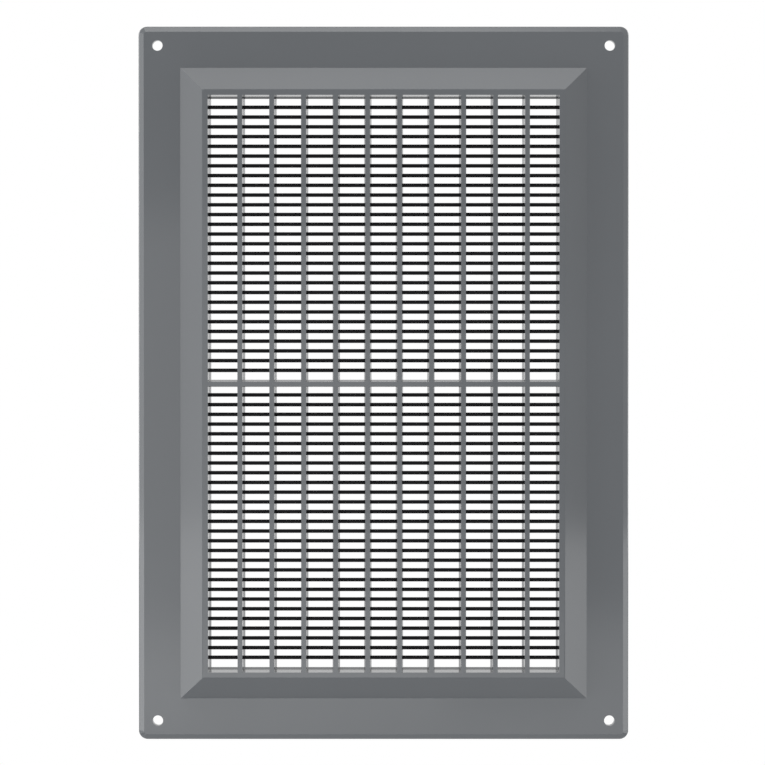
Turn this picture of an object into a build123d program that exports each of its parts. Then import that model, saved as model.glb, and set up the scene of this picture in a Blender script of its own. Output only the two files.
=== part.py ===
# Wall ventilation grille, moulded in one piece.
# It stands upright as it hangs on a wall: X across, Z up, the front facing -Y.
# The wall plane is y = 0 and the origin is the middle of the back. Millimetres.
import math
import os

from build123d import *

# Plate
width = 165.0
height = 240.0
corner_radius = 3.0
rim_edge = 0.5
rim_draft = 30.0
rim_bevel = 1.7
rim_bevel_angle = 45.0

# Raised border round the opening: a slope and a narrow flat land inside the flange
side_flange = 14.25
end_flange = 14.1
slope_run = 7.9
slope_rise = 6.8
slope_wall = 1.8
land_width = 1.85
ridge_softening = 0.5

# Screw holes, one in each corner
hole_diameter = 3.5
hole_inset = 6.6

# Upright bars and one cross bar, flush with the land and as deep as the grille
bar_count = 10
bar_width = 1.6
cross_bar_width = 1.5

# Flare at the back, where the opening's walls and the bars grow wider
flare_width = 0.45
flare_depth = 2.5

# Slats: wedges with their flat side in front, set back from the land
slat_thickness = 1.24
slat_depth = 2.8
slat_setback = 2.5
slat_pitch = 3.25
slat_start = 4.1
slat_end_gap = 3.8
slat_rise = 0.4
slat_root = 0.6

# The slope's foot and ridge, and the opening inside the land
flange_thickness = rim_edge + rim_bevel
depth = flange_thickness + slope_rise
foot_width = width - 2 * side_flange
foot_height = height - 2 * end_flange
ridge_width = foot_width - 2 * slope_run
ridge_height = foot_height - 2 * slope_run
opening_width = ridge_width - 2 * land_width
opening_height = ridge_height - 2 * land_width
bar_pitch = opening_width / (bar_count + 1)
flare_angle = math.degrees(math.atan2(flare_width, flare_depth))

# The hollow behind the slope leaves a wall of even thickness
slope_angle = math.degrees(math.atan2(slope_run, slope_rise))
slope_ratio = slope_run / slope_rise
hollow_margin = flange_thickness * slope_ratio - slope_wall / math.cos(math.radians(slope_angle))
hollow_width = foot_width + 2 * hollow_margin
hollow_height = foot_height + 2 * hollow_margin
hollow_depth = (slope_run + hollow_margin) / slope_ratio

# Each half of the opening takes as many slats as fit between the cross bar and the end
slat_count = int((opening_height / 2 - slat_start - slat_end_gap) / slat_pitch) + 1
slat_field = slat_start + slat_pitch * (slat_count - 1) / 2
slat_front = slat_setback - depth

back_plane = Plane.XZ
flange_front = back_plane.offset(flange_thickness)


def window_grid(plane, flare):
    with BuildSketch(plane) as windows:
        Rectangle(opening_width - 2 * flare, opening_height - 2 * flare)
        with GridLocations(bar_pitch, 0, bar_count, 1):
            Rectangle(bar_width + 2 * flare, opening_height, mode=Mode.SUBTRACT)
        Rectangle(opening_width, cross_bar_width + 2 * flare, mode=Mode.SUBTRACT)
    return windows.sketch


with BuildSketch(Plane.YZ) as slat_sections:
    with Locations((slat_front, slat_rise - slat_field), (slat_front, slat_rise + slat_field)):
        with GridLocations(0, slat_pitch, 1, slat_count):
            Polygon(
                (0, -slat_thickness / 2),
                (slat_depth, 0),
                (0, slat_thickness / 2),
                align=None,
            )

with BuildPart() as grille:
    # Flat flange with a drafted edge and a bevelled rim
    with BuildSketch(back_plane):
        RectangleRounded(width, height, corner_radius)
    extrude(amount=rim_edge, taper=rim_draft)
    extrude(grille.faces().sort_by(Axis.Y)[0], amount=rim_bevel, taper=rim_bevel_angle)

    # Sloping border with a softened ridge and crisp mitred corners
    with BuildSketch(flange_front):
        Rectangle(foot_width, foot_height)
    extrude(amount=slope_rise, taper=slope_angle)
    fillet(grille.faces().sort_by(Axis.Y)[0].edges(), radius=ridge_softening)

    # Hollow behind the slope, round a solid core
    with BuildSketch(back_plane):
        Rectangle(hollow_width, hollow_height)
    extrude(amount=hollow_depth, taper=slope_angle, mode=Mode.SUBTRACT)
    with BuildSketch(back_plane):
        Rectangle(ridge_width, ridge_height)
    extrude(amount=hollow_depth)

    # Windows cut through the core leave the bars
    extrude(window_grid(back_plane.offset(flare_depth), 0), amount=depth, mode=Mode.SUBTRACT)
    flared_windows = window_grid(back_plane, flare_width)
    extrude(flared_windows, amount=flare_depth, taper=-flare_angle, mode=Mode.SUBTRACT)

    # Slats from wall to wall
    extrude(slat_sections.sketch, amount=opening_width / 2 + slat_root, both=True)

    # Screw holes
    with Locations(flange_front):
        with GridLocations(width - 2 * hole_inset, height - 2 * hole_inset, 2, 2):
            Hole(radius=hole_diameter / 2)

os.makedirs("parts", exist_ok=True)
grille.part.label = "grille"
export_step(grille.part, "parts/grille.step")
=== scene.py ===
# Grey moulded wall grille whose slats carry painted shade in near black, lit as a plain studio shot on
# white.
# Metres, in the part's own frame: X across, Z up, the front facing -Y.
import math

import bpy
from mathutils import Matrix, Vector


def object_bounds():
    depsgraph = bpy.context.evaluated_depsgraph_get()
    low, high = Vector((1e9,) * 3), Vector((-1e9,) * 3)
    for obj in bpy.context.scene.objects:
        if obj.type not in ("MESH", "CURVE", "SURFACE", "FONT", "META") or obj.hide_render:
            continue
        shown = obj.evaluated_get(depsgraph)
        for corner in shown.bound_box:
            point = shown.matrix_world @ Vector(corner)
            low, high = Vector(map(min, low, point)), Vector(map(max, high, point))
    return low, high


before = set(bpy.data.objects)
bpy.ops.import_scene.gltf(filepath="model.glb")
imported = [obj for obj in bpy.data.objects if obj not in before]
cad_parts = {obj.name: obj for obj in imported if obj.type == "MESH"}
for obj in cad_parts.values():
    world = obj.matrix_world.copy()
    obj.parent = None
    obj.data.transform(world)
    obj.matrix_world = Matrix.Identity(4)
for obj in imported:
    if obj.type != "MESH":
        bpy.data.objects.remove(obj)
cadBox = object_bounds()
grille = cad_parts["grille"]
backOfBox = cadBox[1].y
frontOfBox = cadBox[0].y
bottomOfBox = cadBox[0].z
print("grille loaded,", len(grille.data.polygons), "faces")


# Small helpers for node trees
def newMaterial(name):
    material = bpy.data.materials.new(name)
    material.use_nodes = True
    material.node_tree.nodes.clear()
    return material


def addNode(tree, kind, place, **values):
    node = tree.nodes.new(kind)
    node.location = place
    for key, value in values.items():
        setattr(node, key, value)
    return node


def setSockets(node, **values):
    for name, value in values.items():
        node.inputs[name].default_value = value


# Moulded grey plastic of the flange, border and bars
plastic = {
    "dark": (0.115, 0.124, 0.1345, 1),
    "light": (0.1215, 0.131, 0.142, 1),
    "cloudScale": 22,          # soft unevenness of the colour, per metre
    "cloudDetail": 3,
    "cloudGrain": 0.5,
    "smearScale": 35,          # slow change of the gloss
    "smearDetail": 4,
    "smearGrain": 0.55,
    "noiseLow": 0.2,           # most of the noise lies between these two
    "noiseHigh": 0.8,
    "smoothest": 0.10,
    "roughest": 0.13,
    "peelScale": 900,          # faint ripple left by the mould
    "peelDetail": 1,
    "peelHeight": 0.00001,
    "peelStrength": 0.3,
    "ior": 1.48,
}


def makePlastic(spec):
    material = newMaterial("greyMoulding")
    tree = material.node_tree
    place = addNode(tree, "ShaderNodeTexCoord", (-1000, 0))
    clouds = addNode(tree, "ShaderNodeTexNoise", (-760, 200))
    setSockets(clouds, Scale=spec["cloudScale"], Detail=spec["cloudDetail"], Roughness=spec["cloudGrain"])
    colours = addNode(tree, "ShaderNodeValToRGB", (-540, 220))
    colours.color_ramp.interpolation = "EASE"
    colours.color_ramp.elements[0].position = spec["noiseLow"]
    colours.color_ramp.elements[0].color = spec["dark"]
    colours.color_ramp.elements[1].position = spec["noiseHigh"]
    colours.color_ramp.elements[1].color = spec["light"]
    smears = addNode(tree, "ShaderNodeTexNoise", (-760, -60))
    setSockets(smears, Scale=spec["smearScale"], Detail=spec["smearDetail"], Roughness=spec["smearGrain"])
    gloss = addNode(tree, "ShaderNodeMapRange", (-540, -60))
    setSockets(gloss, **{
        "From Min": spec["noiseLow"],
        "From Max": spec["noiseHigh"],
        "To Min": spec["smoothest"],
        "To Max": spec["roughest"],
    })
    peel = addNode(tree, "ShaderNodeTexNoise", (-760, -340))
    setSockets(peel, Scale=spec["peelScale"], Detail=spec["peelDetail"])
    bump = addNode(tree, "ShaderNodeBump", (-300, -320))
    setSockets(bump, Strength=spec["peelStrength"], Distance=spec["peelHeight"])
    shader = addNode(tree, "ShaderNodeBsdfPrincipled", (0, 100))
    setSockets(shader, IOR=spec["ior"])
    output = addNode(tree, "ShaderNodeOutputMaterial", (300, 100))
    link = tree.links.new
    for texture in (clouds, smears, peel):
        link(place.outputs["Object"], texture.inputs["Vector"])
    link(clouds.outputs["Fac"], colours.inputs["Fac"])
    link(colours.outputs["Color"], shader.inputs["Base Color"])
    link(smears.outputs["Fac"], gloss.inputs["Value"])
    link(gloss.outputs["Result"], shader.inputs["Roughness"])
    link(peel.outputs["Fac"], bump.inputs["Height"])
    link(bump.outputs["Normal"], shader.inputs["Normal"])
    link(shader.outputs["BSDF"], output.inputs["Surface"])
    return material


# Slats painted near black between the bars: painted shade standing in for the shade on the same grey
# plastic
slats = {
    "setback": 0.0025,         # behind the front of the grille
    "depth": 0.0028,
    "slack": 0.0001,
    "border": 0.0230,          # from the plate's edge to past the ridge, where no slat reaches
    "sideways": 0.5,           # a normal with more X than this is a bar's flank
    # Painted shade: near-black colours in place of the shade that falls on the slats
    "dark": (0.005, 0.005, 0.006, 1),
    "light": (0.008, 0.008, 0.009, 1),
    "cloudScale": 120,
    "cloudDetail": 2,
    "roughness": 0.5,
    "specular": 0.07,
}


def makePaintedSlatShade(spec):
    material = newMaterial("paintedShadeSlats")
    tree = material.node_tree
    place = addNode(tree, "ShaderNodeTexCoord", (-800, 0))
    clouds = addNode(tree, "ShaderNodeTexNoise", (-580, 0))
    setSockets(clouds, Scale=spec["cloudScale"], Detail=spec["cloudDetail"])
    colours = addNode(tree, "ShaderNodeValToRGB", (-360, 0))
    colours.color_ramp.elements[0].color = spec["dark"]
    colours.color_ramp.elements[1].color = spec["light"]
    shader = addNode(tree, "ShaderNodeBsdfPrincipled", (0, 0))
    setSockets(shader, Roughness=spec["roughness"], **{"Specular IOR Level": spec["specular"]})
    output = addNode(tree, "ShaderNodeOutputMaterial", (300, 0))
    link = tree.links.new
    link(place.outputs["Object"], clouds.inputs["Vector"])
    link(clouds.outputs["Fac"], colours.inputs["Fac"])
    link(colours.outputs["Color"], shader.inputs["Base Color"])
    link(shader.outputs["BSDF"], output.inputs["Surface"])
    return material


# A slat's faces lie wholly in the slats' layer and don't face sideways, as the bars' flanks do; these
# faces get the painted shade
def slatFaces(mesh, spec):
    front = frontOfBox + spec["setback"] - spec["slack"]
    back = frontOfBox + spec["setback"] + spec["depth"] + spec["slack"]
    halfWide = cadBox[1].x - spec["border"]
    halfHigh = cadBox[1].z - spec["border"]
    found = []
    for face in mesh.polygons:
        inLayer = all(front < mesh.vertices[i].co.y < back for i in face.vertices)
        inField = abs(face.center.x) < halfWide and abs(face.center.z) < halfHigh
        if inLayer and inField and abs(face.normal.x) < spec["sideways"]:
            found.append(face)
    return found


# The slat faces get the painted shade as a second material
grille.data.materials.clear()
grille.data.materials.append(makePlastic(plastic))
grille.data.materials.append(makePaintedSlatShade(slats))
paintedShadeFaces = slatFaces(grille.data, slats)
for face in paintedShadeFaces:
    face.material_index = 1
print("finishes on,", len(paintedShadeFaces), "slat faces dark")


# Camera a little above the middle of the plate, tipped slightly down
shot = {
    "distance": 0.750,         # from the flange's front
    "flange": 0.0022,          # the flange's thickness
    "eyeHeight": 0.020,
    "eyeAside": -0.00037,
    "tip": 0.5,                # degrees
    "middle": 0.00033,         # height on the flange that lies at mid-frame
    "lens": 105.10,
    "sensor": 36,
}


def addCamera(spec):
    data = bpy.data.cameras.new("shotCamera")
    data.lens = spec["lens"]
    data.sensor_width = spec["sensor"]
    tip = math.radians(spec["tip"])
    below = math.atan2(spec["eyeHeight"] - spec["middle"], spec["distance"])
    data.shift_y = -math.tan(below - tip) * spec["lens"] / spec["sensor"]
    camera = bpy.data.objects.new("shotCamera", data)
    away = backOfBox - spec["flange"] - spec["distance"]
    camera.location = (spec["eyeAside"], away, spec["eyeHeight"])
    camera.rotation_euler = (math.radians(90) - tip, 0, 0)
    bpy.context.scene.collection.objects.link(camera)
    bpy.context.scene.camera = camera


addCamera(shot)
print("camera set")


# Pale floor well below the grille, out of the shot
floorSet = {
    "drop": 0.75,              # below the grille's bottom edge
    "size": 6.0,
    "colour": (0.74, 0.74, 0.74, 1),
    "roughness": 0.8,
}


def addFloor(spec):
    bpy.ops.object.select_all(action="DESELECT")
    height = bottomOfBox - spec["drop"]
    bpy.ops.mesh.primitive_plane_add(size=spec["size"], location=(0, 0, height))
    bpy.ops.object.transform_apply(location=True)
    floor = bpy.context.object
    floor.name = "floor"
    material = newMaterial("paleFloor")
    tree = material.node_tree
    shader = addNode(tree, "ShaderNodeBsdfPrincipled", (0, 0))
    setSockets(shader, Roughness=spec["roughness"], **{"Base Color": spec["colour"]})
    output = addNode(tree, "ShaderNodeOutputMaterial", (300, 0))
    tree.links.new(shader.outputs["BSDF"], output.inputs["Surface"])
    floor.data.materials.append(material)


addFloor(floorSet)
print("floor laid")


# Soft boxes, all aimed at the middle of the grille
lamps = [
    {"name": "leftBox", "at": (-1.00, -0.20, 0.10), "size": (0.8, 0.9), "power": 2.6},
    {"name": "leftLowBox", "at": (-1.00, -0.05, -0.37), "size": (0.8, 0.5), "power": 1.3},
    {"name": "topBox", "at": (-0.08, -0.20, 1.05), "size": (1.1, 0.8), "power": 4.4},
    {"name": "lowPanel", "at": (-0.15, -1.25, -0.635), "size": (1.4, 0.8), "power": 4.1},
    {"name": "leftPanel", "at": (-0.50, -1.30, -0.12), "size": (1.2, 0.5), "power": 1.7},
    {"name": "rightLowBox", "at": (1.00, -0.05, -0.38), "size": (0.8, 0.5), "power": 2.1},
    {"name": "rearLeftBox", "at": (-0.90, 1.00, 0.25), "size": (0.9, 0.9), "power": 6.0},
    {"name": "rearRightBox", "at": (0.90, 1.00, 0.25), "size": (0.9, 0.9), "power": 6.0},
]


def addLamp(spec):
    data = bpy.data.lights.new(spec["name"], "AREA")
    data.shape = "RECTANGLE"
    data.size, data.size_y = spec["size"]
    data.energy = spec["power"]
    lamp = bpy.data.objects.new(spec["name"], data)
    lamp.location = spec["at"]
    lamp.rotation_euler = (-Vector(spec["at"])).to_track_quat("-Z", "Y").to_euler()
    bpy.context.scene.collection.objects.link(lamp)


for softBox in lamps:
    addLamp(softBox)
print("soft boxes placed,", len(lamps))


# White surroundings to the eye and in reflections, a plain grey level as light
world = {"seen": 1.0, "level": 0.52, "colour": (1, 1, 1, 1)}


def makeWorld(spec):
    surroundings = bpy.data.worlds.new("whiteStudio")
    surroundings.use_nodes = True
    tree = surroundings.node_tree
    tree.nodes.clear()
    path = addNode(tree, "ShaderNodeLightPath", (-700, 200))
    camOrGlossy = addNode(tree, "ShaderNodeMath", (-480, 200), operation="MAXIMUM")
    anySight = addNode(tree, "ShaderNodeMath", (-280, 200), operation="MAXIMUM")
    lighting = addNode(tree, "ShaderNodeBackground", (-280, 0))
    setSockets(lighting, Color=spec["colour"], Strength=spec["level"])
    sight = addNode(tree, "ShaderNodeBackground", (-280, -160))
    setSockets(sight, Color=spec["colour"], Strength=spec["seen"])
    mix = addNode(tree, "ShaderNodeMixShader", (0, 60))
    output = addNode(tree, "ShaderNodeOutputWorld", (220, 60))
    link = tree.links.new
    link(path.outputs["Is Camera Ray"], camOrGlossy.inputs[0])
    link(path.outputs["Is Glossy Ray"], camOrGlossy.inputs[1])
    link(camOrGlossy.outputs[0], anySight.inputs[0])
    link(path.outputs["Is Transmission Ray"], anySight.inputs[1])
    link(anySight.outputs[0], mix.inputs[0])
    link(lighting.outputs[0], mix.inputs[1])
    link(sight.outputs[0], mix.inputs[2])
    link(mix.outputs[0], output.inputs["Surface"])
    bpy.context.scene.world = surroundings


makeWorld(world)
bpy.context.scene.view_settings.view_transform = "Standard"
print("lit")
